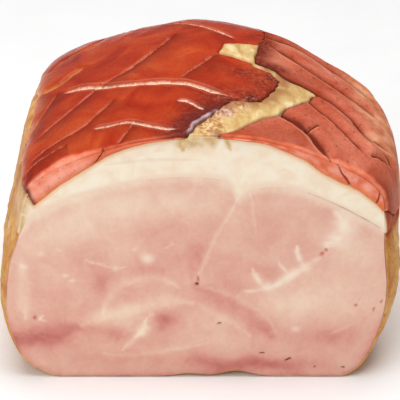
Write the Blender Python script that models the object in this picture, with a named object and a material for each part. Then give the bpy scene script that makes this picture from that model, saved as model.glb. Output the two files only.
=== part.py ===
"""A piece of baked ham: lean meat under a cap of fat and scored rind.

The front is one flat cut, the back is rounded and the base is flat. Lengths are in millimetres
until a mesh is made, in metres. +X is the viewer's right when facing the cut, +Y runs back from
the cut and +Z is up. The origin is the middle of the ham's box, on the surface that it rests on.

A place on the skin is an angle and a depth. The angle is in degrees about the heart, the line
that runs back through the lean: 0 is to the right, 90 is up and 180 is to the left. The depth is
the distance behind the cut.
"""

import math

import bmesh
import bpy
import numpy as np

MM = 0.001

# The cut face, as (across, up) from the left end of the base, over the top and down the right.
CUT_FACE = [
    (-65, 0), (-72.5, 2.5), (-81.5, 9.5), (-87, 21.5), (-89.5, 34.5), (-89, 47), (-87, 61.5),
    (-82.5, 75), (-79.5, 91), (-75, 101.5), (-61.5, 110.5), (-47.5, 116.5), (-33, 121.5),
    (-20, 124), (-7, 125.5), (5, 125.5), (16, 125), (27, 123.5), (40, 120), (52, 115.5),
    (64, 110), (75.5, 103), (82, 95), (83.5, 83.5), (84, 70.5), (85, 60), (86, 49.5),
    (85.5, 37.5), (83, 25.5), (79, 14), (73.5, 5), (66, 0), (57, 0), (40, 0), (0, 0), (-40, 0),
    (-57, 0),
]
HEART_UP = 50.0             # height of the heart line above the base

# How the sections change behind the cut.
LENGTH = 152.0              # along the heart line
SWELL_LEFT = 0.065          # the sides and top swell out just behind the cut
SWELL_RIGHT = 0.134
SWELL_TOP = 0.043
SWELL_WITHIN = 18.0
TAPER_BY = 110.0            # depth at which BACK_GIRTH holds in full
BACK_GIRTH = [              # girth at the back against the cut's, every 15 degrees from 0
    0.84, 0.985, 0.975, 0.995, 1.04, 1.065, 1.07, 1.03, 1.004, 0.997, 0.994, 0.998,
    0.98, 1.02, 1.05, 1.04, 1.02, 1.00, 1.00, 1.00, 1.00, 0.98, 0.95, 0.90,
]
END_SHARPNESS = 6.0         # high for a blunt back
END_ROUNDNESS = 2.75
SKEW_RIGHT = 2.39           # the back's right side stands nearer to the cut, per mm across
SKEW_UP = 1.025             # and its top further from it, per mm up
SKEW_UNIT = 1000.0
CENTRE = (-0.8, 82.9)       # middle of the box, across and behind the cut

# The line where the fat meets the lean on the cut face, as (across, up). The notch right of the
# middle is the fat that runs down into the seam between two muscles.
LEAN_TOP = [
    (-120, 75.5), (-83, 75.5), (-74.5, 85), (-60.5, 93), (-43.5, 99), (-26.5, 103), (-9.5, 105),
    (7.5, 104), (13.5, 100.5), (17, 94.5), (20.5, 97), (24.5, 99), (36, 100), (47, 97),
    (59, 91.5), (70, 85), (83, 77), (120, 77),
]
FAT_BRIM = 76.0             # height of the fat's lower edge round the back
FAT_ENDS = 138.0            # depth at which the lean's dome has come down to the brim
FIT_GAP = 0.3               # clearance between the fat and the lean

# Where the rind has drawn apart and shows the fat, each a run of pairs of skin places.
OPEN_FAT = {
    "split": [
        ((106, -3), (79, -3)), ((97, 3), (77, 5)), ((90, 8), (73, 11)), ((86, 15), (68, 17)),
        ((80, 26), (64, 24)), ((71, 32), (60, 34)), ((67, 42), (57, 43)), ((65, 54), (53, 51)),
    ],
    "patch": [((84, 72), (81, 81)), ((78, 67), (77, 82)), ((71, 64), (71, 79))],
}
OPEN_DEPTH = 2.2

# Cuts scored in the rind, as width, depth and the skin places that each passes through.
SCORES = {
    "long_left": (2.2, 2.0, [(136, 63), (123, 55), (103, 48), (88, 38), (79, 31)]),
    "front_left": (2.0, 1.8, [(126, 21), (112, 13), (98, 4)]),
    "short_middle": (1.8, 1.6, [(98, 29), (88, 20)]),
    "back_middle": (1.8, 1.6, [(97, 105), (86, 95), (78, 87)]),
    "rising_far": (1.8, 1.6, [(144, 27), (135, 41), (124, 58), (106, 80), (96, 100)]),
    "rising_near": (1.8, 1.6, [(144, 15), (133, 21), (124, 31), (117, 42)]),
    "rising_middle": (1.6, 1.4, [(97, 48), (90, 61), (84, 72)]),
    "rising_front": (1.6, 1.4, [(119, 1), (114, 10), (111, 17)]),
    "wide_left": (3.6, 2.0, [(145, 77), (137, 76), (131, 85)]),
    "corner_left": (2.0, 1.6, [(143, 97), (137, 98), (127, 112)]),
    "patch_tail": (2.4, 1.8, [(73, 65), (67, 63), (64, 57)]),
    "crest_right": (2.2, 2.0, [(62, 100), (50, 95), (40, 84), (34, 82)]),
    "long_right": (2.4, 2.2, [(66, 86), (53, 77), (43, 69), (34, 58)]),
    "middle_right": (2.4, 2.2, [(66, 66), (52, 53), (42, 39), (33, 32)]),
    "near_right": (2.0, 1.8, [(56, 40), (48, 29), (41, 17)]),
    "wide_right": (4.0, 2.8, [(64, 24), (58, 15), (52, 8), (47, 2)]),
    "low_right": (1.6, 1.4, [(36, 22), (30, 17)]),
}
SCORE_OVERSHOOT = 2.0       # how far a cutter stands clear of the skin
SCORE_STEPS = 3             # segments between two places of a score

# Mesh density: the fat carries the relief, so it is finer than the lean.
FAT_COLUMNS = 82
FAT_ROW = 5.0
LEAN_COLUMNS = 64
LEAN_ROW = 12.0
END_RINGS = 9
DOME_ROWS = 9
OUTLINE_STEPS = 12

LEAN_COLOUR = (0.79, 0.43, 0.35, 1.0)
FAT_COLOUR = (0.93, 0.78, 0.60, 1.0)


# ---------------------------------------------------------------- curves


def spline(points, steps, closed=False):
    """Points along a smooth curve through the given ones, with this many steps between two."""
    points = np.asarray(points, float)
    count = len(points)
    curve = []
    for i in range(count if closed else count - 1):
        if closed:
            a, b, c, d = (points[(i + k) % count] for k in (-1, 0, 1, 2))
        else:
            a, b, c, d = (points[min(max(i + k, 0), count - 1)] for k in (-1, 0, 1, 2))
        for t in np.arange(steps) / steps:
            curve.append(0.5 * (2 * b + (c - a) * t + (2 * a - 5 * b + 4 * c - d) * t ** 2
                                + (3 * b - a - 3 * c + d) * t ** 3))
    if not closed:
        curve.append(points[-1])
    return np.array(curve)


def ring_value(values, angle):
    """Read evenly spaced values round a full turn, smoothly, at an angle in radians."""
    values = np.asarray(values, float)
    count = len(values)
    place = angle / (2 * math.pi) * count
    i = np.floor(place).astype(int)
    t = place - i
    a, b, c, d = (values[(i + k) % count] for k in (-1, 0, 1, 2))
    return 0.5 * (2 * b + (c - a) * t + (2 * a - 5 * b + 4 * c - d) * t ** 2
                  + (3 * b - a - 3 * c + d) * t ** 3)


OUTLINE = spline(CUT_FACE, OUTLINE_STEPS, closed=True)
OUTLINE[:, 1] = np.maximum(OUTLINE[:, 1], 0.0)
OUTLINE_ANGLE = np.arctan2(OUTLINE[:, 1] - HEART_UP, OUTLINE[:, 0])
OUTLINE_RADIUS = np.hypot(OUTLINE[:, 0], OUTLINE[:, 1] - HEART_UP)


# ---------------------------------------------------------------- the ham's skin


def place_in_block(across, depth, up):
    """Lean the straight block over, so that its back stands askew."""
    reach = depth * np.clip(depth / LENGTH, 0, 1) / SKEW_UNIT
    behind = depth - SKEW_RIGHT * across * reach + SKEW_UP * (up - HEART_UP) * reach
    return np.stack([across - CENTRE[0], behind - CENTRE[1], up + 0 * across], -1)


def skin(angle, depth, lift=0.0):
    """A place on the skin, in mm, lifted by this much away from the heart."""
    angle = np.asarray(angle, float)
    depth = np.asarray(depth, float)
    radius = np.interp(angle, OUTLINE_ANGLE, OUTLINE_RADIUS, period=2 * math.pi)
    swell = (SWELL_LEFT * np.clip(-np.cos(angle), 0, 1) ** 2
             + SWELL_RIGHT * np.clip(np.cos(angle), 0, 1) ** 2
             + SWELL_TOP * np.clip(np.sin(angle), 0, 1) ** 2)
    swell = 1 + swell * (1 - np.exp(-np.maximum(depth, 0) / SWELL_WITHIN))
    blend = np.clip(depth / TAPER_BY, 0, 1)
    blend = blend * blend * (3 - 2 * blend)
    girth = 1 + blend * (ring_value(BACK_GIRTH, angle) - 1)
    radius = radius * swell * girth * closing(depth) + lift
    across = radius * np.cos(angle)
    up = np.maximum(HEART_UP + radius * np.sin(angle), 0.0)
    return place_in_block(across, depth, up)


def closing(depth):
    """How much of its girth a section keeps as the back rounds off, from 1 down to 0."""
    share = np.clip(depth / LENGTH, 0, 1)
    return (1 - share ** END_SHARPNESS) ** (1 / END_ROUNDNESS)


def ring_depths(row):
    """Depths of the sections: even to three quarters of the length, then closing evenly."""
    straight = 0.75 * LENGTH
    depths = list(np.linspace(0, straight, max(2, round(straight / row)) + 1))
    start = math.acos(closing(straight))
    for turn in np.linspace(start, math.pi / 2, END_RINGS + 1)[1:-1]:
        share = (1 - math.cos(turn) ** END_ROUNDNESS) ** (1 / END_SHARPNESS)
        depths.append(share * LENGTH)
    return depths


def ring_angles(columns):
    """Angles that stand evenly spaced along the cut face's outline."""
    steps = np.hypot(*(np.roll(OUTLINE, -1, axis=0) - OUTLINE).T)
    along = np.concatenate([[0], np.cumsum(steps)])
    turned = np.unwrap(np.append(OUTLINE_ANGLE, OUTLINE_ANGLE[0]))
    return np.interp(np.arange(columns) / columns * along[-1], along, turned)


# ---------------------------------------------------------------- meshes


def finish_object(name, bm, collection):
    """Turn a bmesh in millimetres into an object, with its faces pointing out."""
    bmesh.ops.scale(bm, vec=(MM, MM, MM), verts=bm.verts)
    bmesh.ops.recalc_face_normals(bm, faces=bm.faces)
    mesh = bpy.data.meshes.new(name)
    bm.to_mesh(mesh)
    bm.free()
    piece = bpy.data.objects.new(name, mesh)
    collection.objects.link(piece)
    return piece


def sweep(sections, closed_end=True):
    """Join sections of equal point counts into a closed body, in a bmesh."""
    bm = bmesh.new()
    rings = [[bm.verts.new(point) for point in section] for section in sections]
    count = len(rings[0])
    for near, far in zip(rings, rings[1:]):
        for i in range(count):
            j = (i + 1) % count
            bm.faces.new((near[i], near[j], far[j], far[i]))
    bm.faces.new(rings[0])
    if closed_end:
        bm.faces.new(rings[-1][::-1])
    return bm, rings


def ham_block(name, columns, row, collection):
    """The whole ham as one closed loft, from the flat cut to the rounded back."""
    angles = ring_angles(columns)
    bm, rings = sweep([skin(angles, depth) for depth in ring_depths(row)], closed_end=False)
    tip = bm.verts.new(skin(0.0, LENGTH))
    last = rings[-1]
    for i in range(columns):
        bm.faces.new((last[i], last[(i + 1) % columns], tip))
    return finish_object(name, bm, collection)


def lean_row(depth, lift):
    """The lean's top at a depth: the cut face's line, drawn in and down to the brim at the back."""
    keep = math.sqrt(max(0.0, 1 - max(0.0, depth / FAT_ENDS) ** 4))
    inwards = closing(min(max(depth, 0.0), FAT_ENDS))
    return [place_in_block(across * inwards, depth, FAT_BRIM + (up - FAT_BRIM) * keep + lift)
            for across, up in LEAN_TOP]


def above_lean(name, lift, collection):
    """All the space above the lean, lifted by the clearance, as a cutter."""
    clear_of_cut, clear_of_back, ceiling = -6.0, 180.0, 160.0
    turns = np.linspace(0, math.pi / 2, DOME_ROWS + 1)
    depths = [clear_of_cut, *(FAT_ENDS * np.sin(turns)), clear_of_back]
    sections = []
    for depth in depths:
        floor = lean_row(depth, lift)
        roof = [np.append(place[:2], ceiling) for place in (floor[-1], floor[0])]
        sections.append(floor + roof)
    bm, _ = sweep(sections)
    bmesh.ops.triangulate(bm, faces=bm.faces, quad_method="FIXED")
    return cutter(finish_object(name, bm, collection))


def cutter(piece):
    """Keep a tool out of the model and out of the way."""
    piece.hide_render = True
    piece.display_type = "WIRE"
    return piece


def score_cutter(name, width, depth, places, collection):
    """A wedge that follows a score, point down, standing clear of the skin at its top."""
    path = spline([(math.radians(angle), behind) for angle, behind in places], SCORE_STEPS)
    points = np.array([skin(angle, behind) for angle, behind in path])
    forward = np.gradient(points, axis=0)
    forward /= np.linalg.norm(forward, axis=1)[:, None]
    outward = np.array([skin(angle, behind, lift=1.0) for angle, behind in path]) - points
    outward /= np.linalg.norm(outward, axis=1)[:, None]
    sideways = np.cross(forward, outward)
    half = width / 2 * (depth + SCORE_OVERSHOOT) / depth
    sections = []
    for point, side, out in zip(points, sideways, outward):
        top = point + out * SCORE_OVERSHOOT
        sections.append([top - side * half, top + side * half, point - out * depth])
    bm, _ = sweep(sections)
    return cutter(finish_object(name, bm, collection))


def open_fat_cutter(name, pairs, collection):
    """A shallow tray that takes the rind's thickness off between two edges."""
    across_steps = 4
    sections = []
    for start, end in pairs:
        places = np.linspace(start, end, across_steps + 1)
        angles = np.radians(places[:, 0])
        floor = skin(angles, places[:, 1], lift=-OPEN_DEPTH)
        roof = skin(angles, places[:, 1], lift=OPEN_DEPTH * 2)[::-1]
        sections.append(np.vstack([floor, roof]))
    bm, _ = sweep(sections)
    return cutter(finish_object(name, bm, collection))


def cut(piece, tool, operation):
    modifier = piece.modifiers.new(tool.name, "BOOLEAN")
    modifier.operation = operation
    modifier.object = tool


# ---------------------------------------------------------------- materials


def flesh(name, colour, roughness):
    material = bpy.data.materials.new(name)
    material.use_nodes = True
    shader = material.node_tree.nodes["Principled BSDF"]
    shader.inputs["Base Color"].default_value = colour
    shader.inputs["Roughness"].default_value = roughness
    shader.inputs["Metallic"].default_value = 0.0
    return material


# ---------------------------------------------------------------- the two layers


def build_lean(ham, tools):
    """The pink muscle, up to the line where the fat begins, with the flat base."""
    lean = ham_block("lean_meat", LEAN_COLUMNS, LEAN_ROW, ham)
    cut(lean, above_lean("lean_limit", 0.0, tools), "DIFFERENCE")
    lean.data.materials.append(flesh("lean", LEAN_COLOUR, 0.45))
    return lean


def build_fat(ham, tools):
    """The fat with its rind, which runs over the top from the cut to the back."""
    fat = ham_block("fat_cap", FAT_COLUMNS, FAT_ROW, ham)
    cut(fat, above_lean("fat_limit", FIT_GAP, tools), "INTERSECT")
    for name, pairs in OPEN_FAT.items():
        cut(fat, open_fat_cutter("open_" + name, pairs, tools), "DIFFERENCE")
    for name, (width, depth, places) in SCORES.items():
        cut(fat, score_cutter("score_" + name, width, depth, places, tools), "DIFFERENCE")
    fat.data.materials.append(flesh("fat", FAT_COLOUR, 0.4))
    return fat


def main():
    for old in list(bpy.data.objects):
        bpy.data.objects.remove(old, do_unlink=True)
    ham = bpy.data.collections.new("ham")
    tools = bpy.data.collections.new("ham_cutters")
    for collection in (ham, tools):
        bpy.context.scene.collection.children.link(collection)
    build_lean(ham, tools)
    build_fat(ham, tools)


main()
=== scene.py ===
"""The looks of a piece of baked ham: moist cut lean, cream fat and scored, glazed rind.

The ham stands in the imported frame, with its cut to the front. Lengths are in millimetres until a
mesh is made, in metres. +X is the viewer's right when facing the cut, +Y runs back from the cut
and +Z is up.

A place on the skin is an angle and a depth. The angle is in degrees about the heart, the line that
runs back through the lean: 0 is to the right, 90 is up and 180 is to the left. The depth is the
distance behind the cut. A place on the cut face is a distance across and a height above the base.
"""

import math
from functools import partial

import bpy
import numpy as np
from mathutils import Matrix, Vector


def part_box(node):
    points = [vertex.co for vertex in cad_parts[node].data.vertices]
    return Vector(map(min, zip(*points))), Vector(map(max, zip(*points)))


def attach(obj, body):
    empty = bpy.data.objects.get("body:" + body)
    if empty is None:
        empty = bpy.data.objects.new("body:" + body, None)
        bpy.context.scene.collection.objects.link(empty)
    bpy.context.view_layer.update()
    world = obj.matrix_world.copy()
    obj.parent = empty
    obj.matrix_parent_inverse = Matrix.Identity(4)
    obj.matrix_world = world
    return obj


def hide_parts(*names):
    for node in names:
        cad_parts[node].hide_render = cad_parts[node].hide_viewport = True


MM = 0.001

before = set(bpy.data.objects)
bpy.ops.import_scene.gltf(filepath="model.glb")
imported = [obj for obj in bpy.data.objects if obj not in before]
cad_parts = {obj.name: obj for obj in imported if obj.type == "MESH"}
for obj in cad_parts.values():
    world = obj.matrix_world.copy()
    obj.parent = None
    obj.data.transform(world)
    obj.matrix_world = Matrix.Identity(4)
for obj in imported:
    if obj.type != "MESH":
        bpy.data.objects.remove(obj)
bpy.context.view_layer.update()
CUT_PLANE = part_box("lean_meat")[0][1] / MM      # where the cut stands along Y

# ---------------- the ham's form, as in the CAD

# The cut face, as (across, up) from the left end of the base, over the top and down the right.
CUT_FACE = [
    (-65, 0), (-72.5, 2.5), (-81.5, 9.5), (-87, 21.5), (-89.5, 34.5), (-89, 47), (-87, 61.5), (-82.5, 75),
    (-79.5, 91), (-75, 101.5), (-61.5, 110.5), (-47.5, 116.5), (-33, 121.5), (-20, 124), (-7, 125.5),
    (5, 125.5), (16, 125), (27, 123.5), (40, 120), (52, 115.5), (64, 110), (75.5, 103), (82, 95),
    (83.5, 83.5), (84, 70.5), (85, 60), (86, 49.5), (85.5, 37.5), (83, 25.5), (79, 14), (73.5, 5), (66, 0),
    (57, 0), (40, 0), (0, 0), (-40, 0), (-57, 0),
]
HEART_UP = 50.0
LENGTH = 152.0
SWELL_LEFT, SWELL_RIGHT, SWELL_TOP = 0.065, 0.134, 0.043
SWELL_WITHIN = 18.0
TAPER_BY = 110.0
BACK_GIRTH = [              # girth at the back against the cut's, every 15 degrees from 0
    0.84, 0.985, 0.975, 0.995, 1.04, 1.065, 1.07, 1.03, 1.004, 0.997, 0.994, 0.998,
    0.98, 1.02, 1.05, 1.04, 1.02, 1, 1, 1, 1, 0.98, 0.95, 0.9,
]
END_SHARPNESS, END_ROUNDNESS = 6.0, 2.75
SKEW_RIGHT, SKEW_UP, SKEW_UNIT = 2.39, 1.025, 1000.0
ACROSS_CENTRE = -0.8
LEAN_TOP = [                # where the fat meets the lean on the cut face
    (-82.4, 75.5), (-74.5, 85), (-60.5, 93), (-43.5, 99), (-26.5, 103), (-9.5, 105), (7.5, 104),
    (13.5, 100.5), (17, 94.5), (20.5, 97), (24.5, 99), (36, 100), (47, 97), (59, 91.5),
    (70, 85), (83.9, 77),
]
FAT_BRIM = 76.0             # height of the fat's lower edge round the back

RIM = 1.1                   # rounding between the cut face and the sides
RIND_THICK = 3.2
RIND_LIP = 1.3              # rounding of the rind's own edges
RIND_BACK = 150.15          # depth of the last row of the rind
SEAM_FROM = 85.0            # depth beyond which the rind's halves abut
FAR = 200.0                 # beyond everything

# Mesh density: mm between rows along the straight part, rows round the back, and columns.
LEAN_MESH, FAT_MESH, RIND_MESH = (2.0, 34), (0.85, 28), (0.45, 54)
LEAN_ROWS, FAT_ROWS = 175, 44       # on the cut face
TOP_COLUMNS = 330                   # along the line where the lean meets the fat
SIDE_COLUMNS, COVERED_COLUMNS = 330, 60
RIND_COLUMNS_LEFT, RIND_COLUMNS_RIGHT = 236, 190

# Heights of the rind's lower edges at depths behind the cut.
RIND_EDGE_LEFT = [
    (0, 96.5), (6, 95), (13, 96), (20, 98.5), (35, 100.5), (49, 103), (58, 104), (80, 103.5), (95, 101.5),
    (120, 94), (152, 82),
]
RIND_EDGE_RIGHT = [(0, 87), (3, 86.5), (7, 82), (11, 79), (22, 77.5), (60, 77), (110, 79), (152, 82)]

# The two sides of the gap where the rind has drawn apart, as (depth, angle). They meet at the end
# of the gap, and from there the rind's two halves abut.
GAP_LEFT = [
    (0, 94), (2.5, 93), (5.5, 92), (10, 89.5), (15, 86.2), (18, 84.6), (24, 82.5), (27, 79.5), (28.3, 75),
    (30.5, 70.5), (34, 69), (42, 66.4), (49, 65), (54, 64.6), (57, 67), (60.5, 70), (62, 72.3),
    (64.3, 73.2), (68, 78.5), (71.5, 84), (82, 81.6), (83.5, 72), (87, 71), (96, 69.2), (110, 68.5),
    (152, 76),
]
GAP_RIGHT = [
    (0, 84.5), (1.5, 83), (3, 80.5), (5, 78), (11, 74), (16, 70), (20, 66), (24, 64), (37, 58.5),
    (49.5, 53), (52, 53.5), (54.5, 59), (57, 63), (61, 65.5), (62.7, 66.5), (64.5, 72.2), (70, 72.4),
    (78, 71.4), (87, 70.8), (96, 68.8), (110, 68.1), (152, 75.6),
]

# Where the rind's section ends on the cut face, from the gap to the left and from the right tip.
BAND_LEFT = [(-11, 124.2), (-21, 122.2), (-32, 119), (-41, 115), (-51, 108), (-62, 100.5), (-74, 90)]
BAND_LEFT_TIP = (-79, 97.5)
BAND_RIGHT = [
    (81.9, 87), (80.2, 89.2), (76, 93.3), (70, 98), (63, 101.5), (54, 106.5), (47, 112.5), (40, 116),
    (31, 120.5), (22, 123), (13, 124),
]

# How far the pale section of each half wraps over on to the skin, as (angle, depth).
WRAP_LEFT = [(94, 0), (120, 0.5), (129, 2.6), (135, 4.6), (141, 2), (149, 0.5)]
WRAP_RIGHT = [(28, 1.5), (36, 2), (42, 2.6), (50, 1.4), (60, 1.6), (84, 0.5)]

# Marks scored in the rind, by kind: width, depth and the skin places that each passes through.
SCORES = {
    "open": [               # cuts drawn open, which show pale fat
        (3.4, 1.6, [(138, 64), (130, 62), (123, 56), (113, 50), (103, 47), (95, 43.5), (88, 38),
                    (82, 33.5), (77, 28)]),
        (2.3, 1.3, [(126, 20), (119, 17.5), (114, 16.5), (110, 13.5), (103, 7), (98, 4.5), (95, 3)]),
        (1.9, 1.1, [(98, 29), (93, 26), (88, 19)]),
        (2, 1.1, [(106, 113), (98, 109), (90, 101), (82, 93), (77, 87)]),
        (2, 0, [(65.5, 26), (64, 24.5)]),
        (2.2, 0, [(58, 16), (56.5, 15)]),
    ],
    "line": [               # thin shut cuts
        (0.8, 0.7, [(145, 27), (139, 36), (135, 40), (130, 48), (124, 56), (115, 66), (106, 80),
                    (96, 99)]),
        (0.9, 0.7, [(146, 14), (138, 19), (133, 21), (128, 24), (124, 31), (117, 42)]),
        (0.7, 0.5, [(149, 9), (143, 12), (138, 13), (132, 14)]),
        (0.7, 0.6, [(118, 62), (110, 72), (103, 86), (98, 96)]),
        (1.1, 0.8, [(97, 48), (90, 61), (87, 67), (84, 71)]),
        (0.7, 0.5, [(117.5, 1), (114, 9), (111, 17)]),
        (0.9, 0.7, [(148, 33), (143.5, 47), (139.5, 60), (137, 68)]),
        (1.6, 1, [(134, 130), (122, 124), (108, 126), (94, 132)]),
    ],
    "tan": [                # wide shallow cuts that show tan fat
        (5.4, 1.3, [(144, 75), (137.5, 75.5), (134, 79.5), (129, 85)]),
        (3, 1, [(126, 117), (131, 107), (136, 104.5), (140, 101), (143, 94)]),
    ],
    "groove": [             # deep folds, with one side rolled over; their dark colour is painted shade
        (6, 2.6, [(71.5, 99), (66, 101), (60, 102.5), (54, 101), (46, 95), (41, 90), (36, 83),
                    (28, 76)]),
        (4.2, 2.3, [(68, 90), (62, 84), (58, 79), (50, 73), (43, 67), (36, 60), (28, 52)]),
        (3.2, 1.9, [(55, 53), (52, 51), (48, 49.5), (43, 41), (39, 30), (35, 27), (31, 26), (25, 27)]),
        (1.9, 1.2, [(58, 43), (55.5, 40.5), (49.5, 31.5), (45, 24), (42, 18.5), (37, 11)]),
        (3.7, 1.9, [(68, 28), (64, 23), (60, 19.7), (55.5, 14.5), (50.5, 5), (47, -1)]),
        (1, 0.5, [(57, 14), (54, 19), (51.5, 22)]),
        (1.5, 0.8, [(38, 23), (33, 21), (29, 19)]),
        (1.2, 0.5, [(38, 14), (31, 18), (27, 17)]),
        (2.8, 1.8, [(70, 122), (58, 123), (46, 116), (34, 104), (25, 97)]),
        (2.8, 1.7, [(72, 139), (56, 137), (42, 130), (31, 121), (24, 116)]),
    ],
}

# Where the cut section of each half has split, as (angle, depth), below 0 on the section.
SPLITS_LEFT = [[(122, 2), (122.5, -3), (123.5, -7)]]
SPLITS_RIGHT = [[(45, 0), (43.5, -3), (41, -5), (38, -9)], [(31, 0), (29, -3), (28, -6)]]

# ---------------- curves and fields


def through(a, b, c, d, t):
    """A smooth curve's value, this share of the way from b to c."""
    return 0.5 * (2 * b + (c - a) * t + (2 * a - 5 * b + 4 * c - d) * t ** 2
                  + (3 * b - a - 3 * c + d) * t ** 3)


def spline(points, steps, closed=False):
    """Points along a smooth curve through the given ones, with this many steps between two."""
    points = np.asarray(points, float)
    if closed:
        padded = points[np.arange(-1, len(points) + 2) % len(points)]
    else:
        padded = np.vstack([points[:1], points, points[-1:]])
    corners = (padded[k:len(padded) - 3 + k, None] for k in range(4))
    curve = through(*corners, (np.arange(steps) / steps)[:, None]).reshape(-1, 2)
    return curve if closed else np.vstack([curve, points[-1:]])


def run_along(path):
    """The distance run along a path to each of its points."""
    return np.concatenate([[0], np.cumsum(np.hypot(*np.diff(path, axis=0).T))])


def points_at(runs, known, path):
    """The points of a path at these distances along it, from the known distance of each point."""
    return np.stack([np.interp(runs, known, path[:, k]) for k in (0, 1)], -1)


def resample(path, count):
    """The same path with this many points, evenly spaced."""
    known = run_along(path)
    return points_at(np.linspace(0, known[-1], count), known, path)


def ring_value(values, turn):
    """Read evenly spaced values round a full turn, smoothly, at an angle in radians."""
    place = turn / (2 * math.pi) * len(values)
    first = np.floor(place).astype(int)
    around = (np.take(values, first + k, mode="wrap") for k in (-1, 0, 1, 2))
    return through(*around, place - first)


def ease(share):
    """A smooth step from 0 to 1."""
    share = np.clip(share, 0, 1)
    return share * share * (3 - 2 * share)


def fall(away, reach=1.0):
    """1 at nothing away, dying off smoothly over this reach."""
    return np.exp(-(away / reach) ** 2)


def read(table, place, smooth=2.0):
    """Read a table of (place, value) pairs, rounding off its corners over this distance."""
    places, values = np.array(table, float).T
    shifts = np.linspace(-smooth, smooth, 5)
    return sum(np.interp(place + shift, places, values) for shift in shifts) / len(shifts)


LATTICE_SIDE = 32
LATTICE = np.random.default_rng(5).uniform(-1, 1, (LATTICE_SIDE,) * 3)
SEED_SHIFT = 7.31


def noise(places, size, seed):
    """Smooth random values from -1 to 1 at places in mm, in lumps of this size."""
    cell = places / size + SEED_SHIFT * seed
    base = np.floor(cell).astype(int)
    near = ease(cell - base)
    total = 0
    for corner in np.ndindex(2, 2, 2):
        x, y, z = np.moveaxis(np.abs(1 - np.array(corner) - near), -1, 0)
        at = tuple(np.moveaxis((base + corner) % LATTICE_SIDE, -1, 0))
        total = total + x * y * z * LATTICE[at]
    return total


def flat_noise(across, up, size, seed):
    """The same noise over a plane."""
    return noise(np.stack([across, up, 0 * across + seed * 3.7], -1), size, seed)


def near_path(across, up, path):
    """Distance in mm from places to a path, how far along it the nearest point is, from 0 to 1,
    and the side that they lie on, 1 to the left of its run and -1 to the right."""
    begun = run_along(path)
    away = np.full(across.shape, np.inf)
    run, side = np.zeros(across.shape), np.zeros(across.shape)
    for (x, y), (dx, dy), start in zip(path, np.diff(path, axis=0), begun):
        right, rise, length = across - x, up - y, np.hypot(dx, dy)
        t = np.clip((right * dx + rise * dy) / length ** 2, 0, 1)
        gap = np.hypot(right - t * dx, rise - t * dy)
        closer = gap < away
        away[closer] = gap[closer]
        run[closer] = ((start + t * length) / begun[-1])[closer]
        side[closer] = np.sign(dx * rise - dy * right)[closer]
    return away, run, side


def stroke(across, up, width, places):
    """How much of a tapering stroke a place has, from 0 to 1."""
    away, run, _ = near_path(across, up, spline(places, 6))
    taper = 0.35 + 0.65 * ease(run / 0.25) * ease((1 - run) / 0.25)
    return fall(away, 0.6 * width * taper)


def ellipse(across, up, x, z, wide, high, degrees=0.0):
    """0 at the middle of a spot, 1 at its edge."""
    turn = math.radians(degrees)
    right, rise = across - x, up - z
    along = right * math.cos(turn) + rise * math.sin(turn)
    over = rise * math.cos(turn) - right * math.sin(turn)
    return np.hypot(along / wide, over / high)


def patch(angle, depth, at_angle, at_depth, degrees, long):
    """A soft patch on the skin, 1 at its middle."""
    return fall(np.hypot((angle - at_angle) / degrees, (depth - at_depth) / long))


def stretch(away, reach, depth, start, rise, end, drop):
    """A mark within reach of an edge and between two depths, where it eases in and out."""
    return fall(away, reach) * ease((depth - start) / rise) * ease((end - depth) / drop)


# The cut face's outline, and the distance run round it to each of its angles.
OUTLINE = np.maximum(spline(CUT_FACE, 12, closed=True), (-np.inf, 0)) - (0, HEART_UP)
OUTLINE = OUTLINE[np.argsort(np.arctan2(OUTLINE[:, 1], OUTLINE[:, 0]))]
OUTLINE_TURN = np.arctan2(OUTLINE[:, 1], OUTLINE[:, 0])
OUTLINE_RADIUS = np.hypot(*OUTLINE.T)
RING_RUN = run_along(np.vstack([OUTLINE, OUTLINE[:1]]))
RING_TURN = np.degrees(np.append(OUTLINE_TURN, OUTLINE_TURN[0] + 2 * math.pi))


def unroll(angle):
    """Distance round the cut face's outline to an angle, in mm."""
    turns = angle - RING_TURN[0]
    laps = np.floor(turns / 360)
    run = np.interp(turns - 360 * laps, RING_TURN - RING_TURN[0], RING_RUN)
    return laps * RING_RUN[-1] + run


def roll(distance):
    """The angle at a distance round the outline: the opposite of unroll."""
    laps = np.floor(distance / RING_RUN[-1])
    return 360 * laps + np.interp(distance - laps * RING_RUN[-1], RING_RUN, RING_TURN)


def outline_radius(turn):
    """Distance from the heart to the cut face's outline, at an angle in radians."""
    return np.interp(turn, OUTLINE_TURN, OUTLINE_RADIUS, period=2 * math.pi)


def rim_place(angle):
    """The place on the cut face at an angle, where it begins to round over to the side."""
    turn = np.radians(angle)
    radius = outline_radius(turn) - RIM
    return np.stack([radius * np.cos(turn), HEART_UP + radius * np.sin(turn)], -1)


def inside_outline(across, up):
    """How far a place on the cut face lies inside the outline, in mm, measured from the heart."""
    turn = np.arctan2(up - HEART_UP, across)
    return outline_radius(turn) - np.hypot(across, up - HEART_UP)


def angle_of(across, up):
    """The angle about the heart of a place on the cut face."""
    return math.degrees(math.atan2(up - HEART_UP, across))


# ---------------- the skin


def closing(depth):
    """How much of its girth a section keeps as the back rounds off, from 1 down to 0."""
    share = np.clip(depth / LENGTH, 0, 1)
    return (1 - share ** END_SHARPNESS) ** (1 / END_ROUNDNESS)


def skin_radius(angle, depth):
    """Distance from the heart to the skin."""
    turn = np.radians(angle)
    swell = (SWELL_LEFT * np.clip(-np.cos(turn), 0, 1) ** 2
             + SWELL_RIGHT * np.clip(np.cos(turn), 0, 1) ** 2
             + SWELL_TOP * np.clip(np.sin(turn), 0, 1) ** 2)
    swell = 1 + swell * (1 - np.exp(-np.maximum(depth, 0) / SWELL_WITHIN))
    girth = 1 + ease(depth / TAPER_BY) * (ring_value(BACK_GIRTH, turn) - 1)
    return outline_radius(turn) * swell * girth * closing(depth)


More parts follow.
